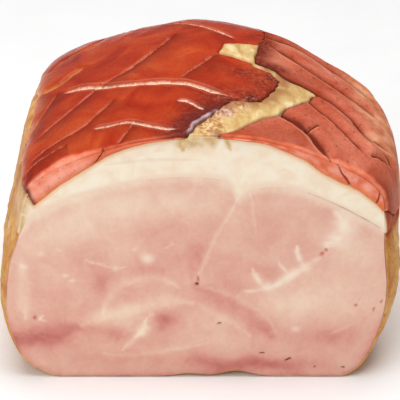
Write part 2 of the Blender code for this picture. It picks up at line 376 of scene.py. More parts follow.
def skin(angle, depth):
    """A place on the skin, in the frame. The block leans over, so its back stands askew."""
    turn, radius = np.radians(angle), skin_radius(angle, depth)
    across, up = radius * np.cos(turn), np.maximum(HEART_UP + radius * np.sin(turn), 0.0)
    reach = depth * np.clip(depth / LENGTH, 0, 1) / SKEW_UNIT
    behind = depth - SKEW_RIGHT * across * reach + SKEW_UP * (up - HEART_UP) * reach
    return np.stack([across - ACROSS_CENTRE, behind + CUT_PLANE, up], -1)


def on_cut(across, up, sunk=0.0):
    """A place on the cut face, in the frame, sunk this far behind the cut's plane."""
    return np.stack([across - ACROSS_CENTRE, CUT_PLANE + sunk + 0 * across, up], -1)


def unit(vectors):
    return vectors / np.maximum(np.linalg.norm(vectors, axis=-1, keepdims=True), 1e-9)


def outward(angle, depth):
    """The skin's outward direction."""
    depth = np.clip(depth, 0.3, LENGTH - 0.4)
    round_ = skin(angle + 0.4, depth) - skin(angle - 0.4, depth)
    back = skin(angle, depth + 0.3) - skin(angle, depth - 0.3)
    return unit(np.cross(back, round_))


def angle_at_height(height, depth, side):
    """Where the skin of one side, -1 for left and 1 for right, stands at a height."""
    angle = 90.0 - side * 60.0 + 0 * depth
    for _ in range(60):
        sine = np.clip((height - HEART_UP) / np.maximum(skin_radius(angle, depth), 1.0), -1, 1)
        rise = np.degrees(np.arcsin(sine))
        angle = 0.5 * angle + 0.5 * (rise if side > 0 else 180 - rise)
    return angle


def depths_to(last, row, rounds):
    """Depths from 0 to the last: even along the straight part, then even round the back."""
    straight = 0.72 * LENGTH
    even = np.linspace(0, straight, round(straight / row) + 1)
    first_turn, last_turn = (math.acos(closing(depth)) for depth in (straight, last))
    turns = np.linspace(first_turn, last_turn, rounds + 1)[1:]
    back = (1 - np.cos(turns) ** END_ROUNDNESS) ** (1 / END_SHARPNESS) * LENGTH
    return np.concatenate([even, back])


def rounded_rows(depths, round_rows=6):
    """Rows that turn the corner from the cut to the sides: depths, lifts and how far turned."""
    turn = np.linspace(0, math.pi / 2, round_rows)
    beyond = depths[depths > RIM * 1.2]
    return (np.concatenate([RIM * (1 - np.cos(turn)), beyond]),
            np.concatenate([-RIM * (1 - np.sin(turn)), 0 * beyond]),
            np.concatenate([np.sin(turn), 1 + 0 * beyond]))


def shell(angle, rows):
    """A grid over the skin: its depths, lifts and turns, its places and outward directions."""
    depth, lift, turned = (row[:, None] + 0 * angle for row in rows)
    return depth, lift, turned, skin(angle, depth), outward(angle, depth)


# ---------------- meshes


def make_piece(name, grids, material, stands_for):
    """Join grids of points into one smooth mesh, on the ham's body.

    A grid is its points by rows and columns, in mm, its marks, which are shares at each point that
    the material reads, and whether its columns close into a ring.
    """
    held = {mark: [] for mark in sorted({mark for _, marks, _ in grids for mark in marks})}
    points, faces, first = [], [], 0
    for places, marks, closed in grids:
        index = first + np.arange(places[..., 0].size).reshape(places.shape[:2])
        first += index.size
        if closed:
            index = np.hstack([index, index[:, :1]])
        corners = (index[:-1, :-1], index[1:, :-1], index[1:, 1:], index[:-1, 1:])
        faces.append(np.stack(corners, -1).reshape(-1, 4))
        points.append(places.reshape(-1, 3) * MM)
        for mark, values in held.items():
            values.append(np.broadcast_to(marks.get(mark, 0.0), places.shape[:2]).ravel())
    points, faces = np.vstack(points), np.vstack(faces)
    points[:, 2] = np.maximum(points[:, 2], 0.0)
    mesh = bpy.data.meshes.new(name)
    mesh.from_pydata(points.tolist(), [], faces.tolist())
    mesh.shade_smooth()
    for mark, values in held.items():
        layer = mesh.attributes.new(mark, "FLOAT", "POINT")
        layer.data.foreach_set("value", np.concatenate(values).astype(np.float32))
    mesh.materials.append(material)
    piece = bpy.data.objects.new(name, mesh)
    bpy.context.scene.collection.objects.link(piece)
    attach(piece, "root")
    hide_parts(stands_for)


def fill_patch(bottom, top, left, right):
    """Fill four curves that meet at their ends: two run left to right, two run up."""
    s = np.linspace(0, 1, len(bottom))[None, :, None]
    t = np.linspace(0, 1, len(left))[:, None, None]
    ruled = (1 - t) * bottom[None] + t * top[None] + (1 - s) * left[:, None] + s * right[:, None]
    corners = ((1 - s) * (1 - t) * bottom[0] + s * (1 - t) * bottom[-1]
               + (1 - s) * t * top[0] + s * t * top[-1])
    return ruled - corners


# ---------------- the cut lean

# Paler and deeper areas: across, up, half width, half height, turn in degrees and how much deeper.
BLUSH_BASE = 0.475
BLUSH_PATCHES = [
    (-58, 80, 24, 9, 20, -0.26), (-20, 92, 30, 9, 4, -0.24), (-45, 50, 8, 6, -30, 0.2),
    (-26, 58, 15, 6, -4, 0.18), (-62, 41, 13, 9, 0, 0.1), (-74, 20.5, 17, 6.5, 12, 0.46),
    (-40, 22, 45, 20, 0, 0.06), (-33, 28.5, 7, 4, -20, -0.22), (-58, 27, 11, 4, 10, 0.2),
    (-38, 34, 13, 4, 10, -0.22), (-17.5, 31.5, 8, 4, 25, 0.34), (-40, 24, 7, 4, 0, 0.14),
    (-12, 17, 22, 3, 10, -0.1), (-45, 9, 24, 5, 0, 0.08), (70, 66, 13, 12, 0, -0.22),
    (54, 45, 18, 9, 0, -0.2), (57, 23, 21, 6, -2, 0.24), (22, 7, 26, 4.5, -3, 0.48),
    (-4, 63, 7, 8, -20, 0.14), (30, 78, 14, 10, 0, 0.06), (30, 57, 8, 5, 0, 0.2), (46, 66, 7, 6, 0, 0.1),
    (18, 50, 9, 4, -25, 0.12), (40, 39, 16, 6, 0, -0.22), (78, 50, 8, 14, 0, -0.04),
    (-20, 78, 20, 8, 0, 0.06), (10, 88, 8, 8, 0, -0.05), (2, 26, 12, 7, 0, -0.06),
]
# Soft streaks: width, how much deeper, and the places that each passes through.
SEAM = [(17, 94.6), (13.7, 87.5), (8.5, 77.8), (4.6, 69.2), (1.2, 58.7), (-0.9, 54.4)]
BLUSH_STREAKS = [
    (5.5, -0.22, [(-80.6, 60), (-81, 47), (-80.9, 39), (-79.8, 32)]),
    (4.2, -0.18, [(-45, 35), (-39, 47), (-30, 52), (-18.6, 53.3), (-9.7, 48.6)]),
    (7, -0.2, [(-54, 28), (-42, 34), (-33, 36), (-24.7, 37.5), (-16, 41.7), (-3.7, 40)]),
    (2.6, -0.26, [(-24.5, 32), (-26.5, 25), (-29.5, 21.5), (-36, 15)]),
    (6, -0.28, [(-22.5, 34), (-24, 30), (-25.5, 26), (-29.5, 22.5)]),
    (12, 0.2, [(-2, 49), (7, 42.5), (18, 36), (26.5, 29.5), (32.5, 22.5)]),
    (2.4, -0.14, [(3, 48.5), (14.5, 44), (23, 38.5), (30.5, 32), (35, 24.5)]),
    (3.4, -0.16, [(-1, 40), (8.5, 33), (17.5, 28), (23, 22.5)]),
    (1.9, -0.17, SEAM),
    (7, 0.12, [(12, 92), (6, 79), (1.5, 70), (-2.5, 60), (-4, 54)]),
    (1.4, -0.14, [(22.6, 97), (24, 84.3), (25, 77)]),
    (1.4, -0.14, [(60, 24), (70.3, 29)]),
    (2.2, -0.12, [(-46, 13), (-30, 12), (-12, 15), (4, 19)]),
]
# White fat between the muscle's strands: width and places.
MARBLING = [
    (7, [(61, 87), (64.5, 82.5), (65, 79), (64, 76), (61.5, 73.5), (57, 70)]),
    (3.8, [(62, 85.5), (64.3, 82), (65, 79), (64, 76), (61.5, 73.3), (57.5, 71)]),
    (1.6, [(55, 64.5), (52, 62), (47.3, 58.7)]),
    (2.6, [(48, 59), (40.5, 54), (36, 50), (30.8, 48)]),
    (2, [(30.8, 48), (26, 53.3), (23.7, 58)]),
    (1.6, [(43.5, 70), (43.7, 68.6), (45.6, 61.3), (47.3, 58.7)]),
    (1, [(35.7, 61.7), (37, 59.3), (40.5, 55)]),
    (1.1, [(19.8, 46), (25, 46.5), (30.8, 48)]),
    (0.8, [(-47, 61), (-44, 60.3), (-38.3, 58.7), (-33, 59.5)]),
    (1, [(-52, 63), (-47, 61)]),
    (0.9, [(-65, 68), (-62.5, 67)]),
    (0.8, [(-16, 68.5), (-11.5, 71)]),
    (0.9, [(-73.5, 31), (-71.6, 34)]),
    (0.8, [(-73.5, 31), (-70, 30.2)]),
]
# White specks, small holes and blood spots: across, up, half width, half height.
SPECKS = [
    (-71.5, 65.9, 1.1, 0.9), (-79.6, 59.3, 1.5, 1.1), (-23.8, 63.7, 2.1, 1.9), (-29.7, 68.3, 0.8, 0.7),
    (-38.3, 58.7, 1.4, 1.2), (44, 26.2, 1.5, 1.3), (47.3, 58.7, 2.2, 1.8), (31, 48.3, 2.6, 1.8),
    (-61, 54.6, 1.2, 0.5), (-58, 52, 1.2, 0.5), (64.6, 80.5, 3, 5.5), (61.5, 74, 3.6, 2.2),
    (57.5, 71, 2.4, 1.3),
]
HOLES = [
    (8.7, 29, 1, 0.5), (28.9, 13.2, 1.2, 0.5), (41, 9.7, 1.7, 0.6), (66.4, 5.1, 1.1, 0.5),
    (53.6, 5.5, 0.8, 0.4), (-1.4, 50.2, 0.9, 0.6),
]
BLOOD_SPOTS = [
    (55.2, 65.9, 1.3, 1.1), (56.8, 67.9, 1, 1), (71.3, 38.8, 1, 1), (-75.5, 32, 1.2, 1.4),
    (-1, 53, 0.8, 2), (79.6, 37.1, 0.6, 1.4), (83, 41, 0.5, 1.2),
]
BLOOD_STREAK = (0.8, [(71.3, 38.8), (73.3, 43.9)])


def lean_marks(across, up):
    """The cut lean's relief in mm and its marks, at places on the cut face."""
    rough = partial(flat_noise, across, up)
    wavy = (across + 2.2 * rough(11, 1) + 0.7 * rough(3.4, 2),
            up + 2.2 * rough(11, 3) + 0.7 * rough(3.4, 4))
    near = across + 0.45 * rough(2.2, 5), up + 0.45 * rough(2.2, 6)
    below_top = np.interp(across, *np.array(LEAN_TOP).T) - up
    inside = inside_outline(across, up)

    blush = BLUSH_BASE + 0.07 * rough(16, 7) + 0.05 * rough(6, 8)
    for *spot, deeper in BLUSH_PATCHES:
        blush = blush + deeper * fall(ellipse(*wavy, *spot))
    for width, deeper, places in BLUSH_STREAKS:
        blush = blush + deeper * stroke(*near, width, places)
    blush = blush - 0.26 * (1 - ease(below_top / 5.0))
    blush = blush + 0.26 * fall(inside, 3.0) * (1 - ease((up - 22) / 22))

    veins = [min(0.9, 0.4 + 0.25 * width, 5.0 / width) * stroke(*near, 1.4 * width, places)
             for width, places in MARBLING]
    blotchy = np.clip(0.75 + 0.55 * rough(3.2, 13), 0, 1)
    specks = [min(0.95, 0.2 + 0.25 * spot[2]) * fall(0.75 * ellipse(*near, *spot))
              for spot in SPECKS]
    marble = np.maximum.reduce([blotchy * np.maximum.reduce(veins), *specks])
    # the small holes are sunk and coloured dark: the dark is painted shade
    hole = np.maximum.reduce([1 - ease((ellipse(*near, *spot) - 0.6) / 0.7) for spot in HOLES])
    blood = np.maximum.reduce([0.5 * stroke(*near, *BLOOD_STREAK),
                               *(fall(ellipse(*near, *spot)) for spot in BLOOD_SPOTS)])

    relief = (0.30 * rough(20, 9) + 0.10 * rough(5, 10) + 0.05 * rough(1.8, 11)
              - 0.18 * stroke(*near, 0.9, SEAM) - 1.1 * hole - 0.3 * blood + 0.12 * marble)
    relief = relief * ease(inside / 6.0) * ease(below_top / 4.0)
    crust = 1 - ease((inside - 0.4 * rough(4, 12)) / 1.6)
    return relief, {"blush": blush, "marble": marble, "hole": hole, "blood": blood, "crust": crust}


def underside(across, depth):
    """How far the foot of the cut face has drawn up off the board."""
    lift = 3.2 * fall(across - 17, 9) + 1.6 * fall(across + 5, 8)
    return lift * np.exp(-np.maximum(depth, 0) / 9.0)


LEAN_TOP_LINE = resample(spline(LEAN_TOP, 8), TOP_COLUMNS)
BRIM_LEFT, BRIM_RIGHT = angle_of(*LEAN_TOP_LINE[0]), angle_of(*LEAN_TOP_LINE[-1])
FOOT_LEFT, FOOT_RIGHT = angle_of(-65, 0) + 360, angle_of(66, 0)
for end, order, brim in ((0, 1, BRIM_LEFT), (-1, -1, BRIM_RIGHT)):  # bring its ends to the rim
    moved = rim_place(brim) - LEAN_TOP_LINE[end]
    LEAN_TOP_LINE += ease(1 - np.arange(TOP_COLUMNS)[::order] / 12)[:, None] * moved


def lean_cut():
    """The lean's part of the cut face, as a grid."""
    right, left = (rim_place(roll(np.linspace(unroll(foot), unroll(brim), LEAN_ROWS)))
                   for foot, brim in ((FOOT_RIGHT, BRIM_RIGHT), (FOOT_LEFT, BRIM_LEFT)))
    bottom = np.linspace(left[0], right[0], TOP_COLUMNS)
    bottom[:, 1] += underside(bottom[:, 0], 0)
    across, up = np.moveaxis(fill_patch(bottom, LEAN_TOP_LINE, left, right), -1, 0)
    relief, marks = lean_marks(across, up)
    return on_cut(across, up, -relief), marks, False


def roasted(places):
    """How dark the side has baked below the rind's right edge, at places in the frame."""
    across, behind, up = np.moveaxis(places, -1, 0)
    high = ease((up - 67 + 5 * noise(places, 9, 27)) / 12)
    return high * (across > 0) * ease((64 - behind + CUT_PLANE) / 50)


def crusted(base, depth):
    """Relief of the smoked skin in mm, which the lean and the fat share where they meet."""
    relief = 0.7 * noise(base, 14, 1) + 0.35 * noise(base, 4, 2) + 0.12 * noise(base, 1.6, 3) - 0.5
    return relief * ease((depth - 0.2) / 2.5) * ease(closing(depth) / 0.25)


def lean_side():
    """The lean's smoked sides, base and back, as a grid closed into a ring."""
    rows = rounded_rows(np.append(depths_to(LENGTH - 0.02, *LEAN_MESH), LENGTH))
    low = np.linspace(unroll(BRIM_LEFT + 2 - 360), unroll(BRIM_RIGHT - 2), SIDE_COLUMNS)
    high = np.linspace(low[-1], unroll(BRIM_LEFT + 2), COVERED_COLUMNS)[1:-1]
    angle = roll(np.concatenate([low, high]))[None, :] + 0 * rows[0][:, None]
    depth, lift, turned, base, out = shell(angle, rows)
    covered = 4.0 * ease((base[..., 2] - FAT_BRIM - 0.8) / 3.0) * (depth < LENGTH)
    places = base + out * (lift + crusted(base, depth) - covered)[..., None]
    places[..., 1] += covered * (1 - ease(depth / 6.0))
    foot = 1 - ease(base[..., 2] / 3.0)
    places[..., 2] += underside(places[..., 0] + ACROSS_CENTRE, depth) * foot
    marks = {"crust": 0.45 + 0.55 * ease(turned * 1.2), "blush": 0.5 + 0.25 * noise(base, 20, 4),
             "roast": roasted(base) * turned}
    return places, marks, True


# ---------------- the fat


def ragged(table, depth, smooth, seed, *lumps):
    """A table's values at depths and how uneven they are, from lumps by height, size and seed."""
    rough = partial(noise, np.stack([0 * depth, depth, 0 * depth + 40 * seed], -1))
    uneven = sum(high * rough(size, lump_seed) for high, size, lump_seed in lumps)
    return read(table, depth, smooth), uneven


def gap_edge(table, depth, seed):
    """Angle of one side of the gap at a depth."""
    angle, uneven = ragged(table, depth, 0.7, seed, (0.8, 5, seed), (0.4, 1.7, seed + 1))
    return angle + uneven * ease(depth / 3.0)


def rind_edge(table, depth, side, seed):
    """Angle of one of the rind's outer edges at a depth."""
    height, uneven = ragged(table, depth, 3.0, seed, (1.0, 9, seed), (0.4, 3, seed))
    return angle_at_height(height + uneven, depth, side)


def rind_bounds(depth):
    """The angles of the rind's four edges at a depth, in the order of their names below."""
    left_gap, right_gap = gap_edge(GAP_LEFT, depth, 2), gap_edge(GAP_RIGHT, depth, 5)
    right_gap = np.minimum(right_gap, left_gap - 0.05)
    left_outer = np.maximum(rind_edge(RIND_EDGE_LEFT, depth, -1, 3), left_gap + 0.5)
    right_outer = np.minimum(rind_edge(RIND_EDGE_RIGHT, depth, 1, 4), right_gap - 0.5)
    return left_gap, left_outer, right_outer, right_gap


LEFT_GAP, LEFT_OUTER, RIGHT_OUTER, RIGHT_GAP = range(4)
EDGE_DEPTHS = np.arange(-12.0, 152.0, 0.8)
EDGES = [np.stack([unroll(edge), EDGE_DEPTHS], -1)          # over the unrolled skin
         for edge in rind_bounds(np.maximum(EDGE_DEPTHS, 0))]


def edge_away(angle, depth, edge):
    """Distance in mm from places on the skin to one of the rind's edges."""
    return near_path(unroll(angle), depth, EDGES[edge])[0]


def abutting(depth):
    """How much further off an edge counts beyond the gap's end, where the halves abut."""
    return 4.0 * ease((depth - SEAM_FROM) / 6)


def rind_cover(angle, depth):
    """How far inside the nearer half of the rind rows of places lie, in mm; below 0 it is bare."""
    left_gap, left_outer, right_outer, right_gap = (
        edge[:, None] for edge in rind_bounds(depth[:, 0]))
    inside = (angle > right_outer) & (angle < left_outer)
    inside &= (angle > left_gap) | (angle < right_gap) | (depth > SEAM_FROM)
    away = np.minimum.reduce([
        edge_away(angle, depth, edge) + (abutting(depth) if edge in (LEFT_GAP, RIGHT_GAP) else 0)
        for edge in range(4)])
    return np.where(inside, away, -away)


def band_inside(across, up):
    """How far above the inner edge of the rind's section a place on the cut lies, in mm."""
    edges = ([BAND_LEFT_TIP, *BAND_LEFT[::-1]], BAND_RIGHT[::-1])
    heights = (np.interp(across, *np.transpose(edge), left=FAR, right=FAR) for edge in edges)
    return up - np.minimum(*heights)


FAT_CREASE = [(48, 97), (53.4, 94.6), (60.1, 91.4), (64.7, 89), (70, 85.9), (76, 82.3), (81, 79)]
FAT_LAYER = [(-42, 111), (-22, 113.4), (0, 113.4)]
# Yellow fat that has run from the gap on to the cut: width and places.
DRIPS = [(5.5, [(-6.5, 126), (-7.5, 122), (-7.5, 118.5)]),
         (1.8, [(11, 126), (12, 122), (13.5, 118)])]


def fat_cut(angles):
    """The fat's part of the cut face, from the lean up to the rim, and its marks."""
    inner, outer = LEAN_TOP_LINE[::-1], rim_place(angles)
    t = (np.arange(FAT_ROWS) / FAT_ROWS)[:, None]
    across, up = np.moveaxis(inner + (outer - inner) * t[..., None], -1, 0)
    rough = partial(flat_noise, across, up)
    inside, in_band = inside_outline(across, up), band_inside(across, up)
    sunk = 1.4 * ease(in_band)
    relief = 4 * t * (1 - t) * (0.22 * rough(14, 21) + 0.08 * rough(4, 22))
    spill = fall(inside, 5.6) * ease((angles - 82) / 3) * ease((97 - angles) / 2)
    corner = ease((5.5 - inside + 2.5 * rough(5, 37)) / 4) * ease((-70 - across) / 6)
    spill = np.maximum.reduce([
        spill * (0.8 + 0.5 * rough(3, 35)), 0.75 * corner,
        *(0.85 * stroke(across, up, width, places) for width, places in DRIPS)])
    return on_cut(across, up, sunk - relief), {
        "gap": np.clip(1.3 * spill, 0, 0.97),
        "edge": spill * (0.15 + 0.4 * rough(3, 34)),
        "crease": stroke(across, up, 0.8, FAT_CREASE) * (0.8 + 0.4 * rough(5, 38)),
        "faint": stroke(across, up, 1.6, FAT_LAYER),
        "glow": fall(np.minimum(in_band, 0), 1.8),
        "meat": fall(t * np.linalg.norm(outer - inner, axis=-1), 2.6),
        "rim": (1 - ease(inside / 1.6)) * (1 - ease(sunk)),
    }


def fat_side(angles):
    """The fat's outer side, under and between the rind, and its marks."""
    rows = rounded_rows(depths_to(LENGTH - 0.8, *FAT_MESH))
    right, left = (angle_at_height(FAT_BRIM, rows[0], side)[:, None] for side in (1, -1))
    angle = right + (left - right) * ((angles - angles[0]) / (angles[-1] - angles[0]))
    depth, lift, turned, base, out = shell(angle, rows)
    rough, spot = partial(noise, base), partial(patch, angle, depth)
    cover = rind_cover(angle, depth)
    beyond = np.minimum(cover, 0)
    bare = 1 - ease((cover + 0.2) / 0.9)
    between = ease((angle - 45) / 6) * ease((120 - angle) / 6) * ease((115 - depth) / 10)
    at_edge = fall(beyond)

    # The yellow fat in the gap, torn and crumbly near the cut and along the left half's edge.
    lumps = 0.5 * rough(7, 6) + 0.28 * rough(2.4, 7) + 0.08 * rough(1.0, 8)
    torn = spot(82.6, 17.6, 3.2, 4.2)
    crumbs = np.maximum(spot(84.5, 13.5, 2.5, 3.5), spot(77.5, 25.5, 3.5, 3.0))
    scraps = 2.2 + 1.8 * rough(3.0, 31) + 0.9 * rough(1.1, 32)
    frayed = np.maximum.reduce([crumbs, spot(86.5, 6.5, 5.0, 8.0), 0.7 * spot(80, 21, 6.0, 7.0)])
    gap_lift = (-0.2 + 0.7 * lumps - 0.4 * at_edge + (torn + 0.5 * crumbs) * scraps
                + frayed * (0.7 * rough(2.2, 36) + 0.5 * rough(1.0, 37))
                + 0.8 * ease((depth - 64) / 5))

    # The smoked side below the rind, drawn in at the brim.
    side_lift = 0.15 - fall(beyond, 4.0) - 0.6 * (1 - ease((base[..., 2] - FAT_BRIM) / 0.9))
    shown = gap_lift * between * ease((depth - 0.2) / 2.5)
    shown = shown + (side_lift + crusted(base, depth)) * (1 - between)
    lift = lift + bare * shown - (1 - bare) * 1.6 * RIND_THICK * ease((depth + 0.6) / 1.6)

    toasted = stretch(edge_away(angle, depth, LEFT_GAP), 6.0, depth, 10, 8, 66, 6)
    toasted = np.maximum(toasted, spot(84, 1, 2.5, 3.0))
    toasted = toasted * np.clip(0.85 + 0.6 * rough(3.2, 33), 0, 1)
    pale = spot(156, 2, 8, 8) * np.clip(0.9 + 0.6 * rough(5, 38), 0, 1)
    speckled = np.maximum(crumbs, 0.5 * torn) * np.clip(0.4 + 1.6 * rough(1.6, 34), 0, 1)
    return base + out * lift[..., None], {
        "gap": np.maximum(bare * between * ease(0.5 + turned), 0.75 * pale),
        "crust": bare * (1 - between) * turned * (1 - 0.5 * pale),
        "edge": np.maximum.reduce([0.4 * at_edge * bare, toasted, speckled]),
        "torn": torn * (1 - 0.8 * speckled),
        "frayed": frayed,
        "roast": roasted(base) * turned,
    }


def fat_cap():
    """The fat as one grid: its part of the cut face, then its outer side."""
    # The columns crowd where the fat shows between the rind's halves.
    even = np.linspace(unroll(BRIM_RIGHT), unroll(BRIM_LEFT), 400)
    run = np.cumsum(1 + 1.6 * ease((roll(even) - 48) / 8) * ease((112 - roll(even)) / 8))
    angles = roll(np.interp(np.linspace(run[0], run[-1], TOP_COLUMNS), run, even))
    parts = fat_cut(angles), fat_side(angles)
    names = {name for _, marks in parts for name in marks}
    joined = {name: np.vstack([marks.get(name, 0.0) + np.zeros(places.shape[:2])
                               for places, marks in parts]) for name in names}
    return np.vstack([places for places, _ in parts]), joined, False


# ---------------- the rind


def score_marks(angle, depth):
    """The relief in mm and the marks that the scores give, at skin places."""
    across = unroll(angle)
    rough = partial(noise, np.stack([across, depth, 0 * depth], -1))
    across = across + 0.30 * rough(2.6, 1) + 0.5 * rough(9, 2)
    along = depth + 0.30 * rough(2.6, 3) + 0.5 * rough(9, 4)
    patchy = 0.5 + 0.5 * rough(3.0, 5)
    relief = np.zeros(angle.shape)
    marks = {name: np.zeros(angle.shape) for name in ("open", "tan", "groove", "lip", "shade")}

    def deepen(name, share):
        marks[name] = np.maximum(marks[name], share)

    for kind, (width, deep, places) in ((kind, score) for kind in SCORES for score in SCORES[kind]):
        path = spline([(unroll(turn), behind) for turn, behind in places], 4)
        away, run, side = near_path(across, along, path)
        fade = 0.24 if kind == "groove" else 0.18
        taper = 0.08 + 0.92 * ease(run / 0.12) * ease((1 - run) / fade)
        ends = ease(run / 0.08) * ease((1 - run) / 0.08)
        half = 0.5 * width * taper
        inside = 1 - ease((away - 0.55 * half) / (0.75 * half))
        # the raised edge beside a score; its pale colour below is a painted highlight
        lip = fall(away - 1.5 * half, 0.45 + 0.3 * half) * taper
        relief -= deep * taper * inside
        if kind == "groove":
            back = (side < 0) * ends
            relief -= fall(away, 1.2 * width) * taper * (0.35 + 0.6 * back)
            relief += 1.1 * fall(away - 5.5, 3.0) * (side < 0) * taper
            # painted shade in the fold
            deepen("groove", inside * (0.55 + 0.45 * taper))
            deepen("shade", 0.9 * np.exp(-away / (1.1 * width)) * (0.2 + 0.8 * back) * taper)
            # painted highlight along the groove's crest
            deepen("lip", 0.8 * lip * (side > 0))
        elif kind == "open":
            relief += 0.45 * taper * fall(away, 0.5 * half) + 0.3 * lip
            # painted highlight along the open score's lips
            deepen("lip", 0.4 * lip)
            deepen("open", inside * (0.65 + 0.35 * patchy) * taper)
            # painted shade: a dark line along the open score's edges, strongest on its front side
            brink = fall(away - 1.25 * half, 0.55) * taper
            deepen("groove", brink * np.where(side > 0, 0.75, 0.3 * (1 - patchy)))
            deepen("shade", 0.8 * np.exp(-away / 6.0) * (side > 0) * ends)
        elif kind == "tan":
            deepen("tan", 0.8 * fall(away, half) * taper * (0.5 + 0.5 * patchy))
        else:
            relief += 0.15 * taper * lip - 0.5 * np.exp(-away / 4.0) * (side > 0) * ends
            # the thin cut's own pale colour, held in the mark that elsewhere carries painted highlights
            deepen("lip", inside * taper * (0.22 + 0.6 * patchy))
            deepen("shade", np.exp(-away / 8.0) * (side > 0) * ends)
    return relief, marks


def crowded(width, columns):
    """Distances across strips of these widths, for columns that crowd at both edges."""
    near = RIND_LIP * np.array([0, 0.06, 0.18, 0.36, 0.62, 1.0])
    near = near * np.minimum(1, width / (3 * RIND_LIP))[:, None]
    first, last = near[:, -1:], (width - near[:, -1])[:, None]
    middle = first + (last - first) * np.linspace(0, 1, columns)[1:-1]
    return np.hstack([near, middle, width[:, None] - near[:, ::-1]])


def rind_plate(left, columns, band):
    """One half of the rind as a grid, whose rows run up its section and back over the top.

    Returned are its places before any relief, their outward directions, their angles and depths,
    how far they have turned from the cut, and how far they lie from the grid's edge and from the
    section's foot.
    """
    rows = rounded_rows(depths_to(RIND_BACK, *RIND_MESH), 8)
    start, end = rind_bounds(rows[0])[:2] if left else rind_bounds(rows[0])[2:]
    degree = skin_radius((start + end) / 2, rows[0]) * math.radians(1)
    across_plate = crowded((end - start) * degree, columns)
    angle = start[:, None] + across_plate / degree[:, None]
    depth, lift, turned, base, out = shell(angle, rows)
    base = base + out * lift[..., None]
    front = np.array([0.0, -1.0, 0.0])
    out = unit(out * turned[..., None] + front * (1 - turned)[..., None] ** 0.5)
    gap, outer = (LEFT_GAP, LEFT_OUTER) if left else (RIGHT_GAP, RIGHT_OUTER)
    abut = abutting(depth)
    cover = np.minimum(edge_away(angle, depth, outer), edge_away(angle, depth, gap) + abut)
    gap_column, outer_column = (0, -1) if left else (-1, 0)
    cover[:, gap_column], cover[:, outer_column] = abut[:, 0], 0.0
    cover = np.minimum(cover, 4 * (RIND_BACK - depth))

    # The section on the cut face, from its inner edge up to the rim.
    t = np.concatenate([[0, 0.01, 0.03, 0.07, 0.12], np.linspace(0.18, 1, 30)[:-1]])[:, None]
    share = across_plate[0] / across_plate[0, -1]
    even = resample(np.array(band, float), 200)
    inner = points_at(share, np.linspace(0, 1, 200), even)
    rim = np.stack([base[0, :, 0] + ACROSS_CENTRE, base[0, :, 2]], -1)
    section = on_cut(*np.moveaxis(inner + (rim - inner) * t[..., None], -1, 0))
    height = np.linalg.norm(rim - inner, axis=-1)
    below_rim, above_foot = (1 - t) * height, t * height
    ends = np.minimum(share, 1 - share) * np.linalg.norm(np.diff(rim, axis=0), axis=1).sum()
    return (np.vstack([section, base]), np.vstack([front + 0 * section, out]),
            np.vstack([angle[:1] + 0 * below_rim, angle]),
            np.vstack([-below_rim - RIM * 0.6, depth]), np.vstack([0 * below_rim, turned]),
            np.vstack([np.minimum(above_foot, ends), cover]),
            np.vstack([above_foot, FAR + 0 * cover]))


SKIRT = [0.5, 1.1, 1.9, 2.8]        # how far in the rind's edges are carried, in steps


def with_skirt(grid, out):
    """Carry a grid's four edges inwards, so that it has thickness."""
    for stack, first, last in ((np.hstack, np.s_[:, :1], np.s_[:, -1:]),
                               (np.vstack, np.s_[:1], np.s_[-1:])):
        low = [grid[first] - out[first] * drop for drop in SKIRT[::-1]]
        high = [grid[last] - out[last] * drop for drop in SKIRT]
        grid = stack([*low, grid, *high])
        out = stack([*[out[first]] * len(SKIRT), out, *[out[last]] * len(SKIRT)])
    return grid


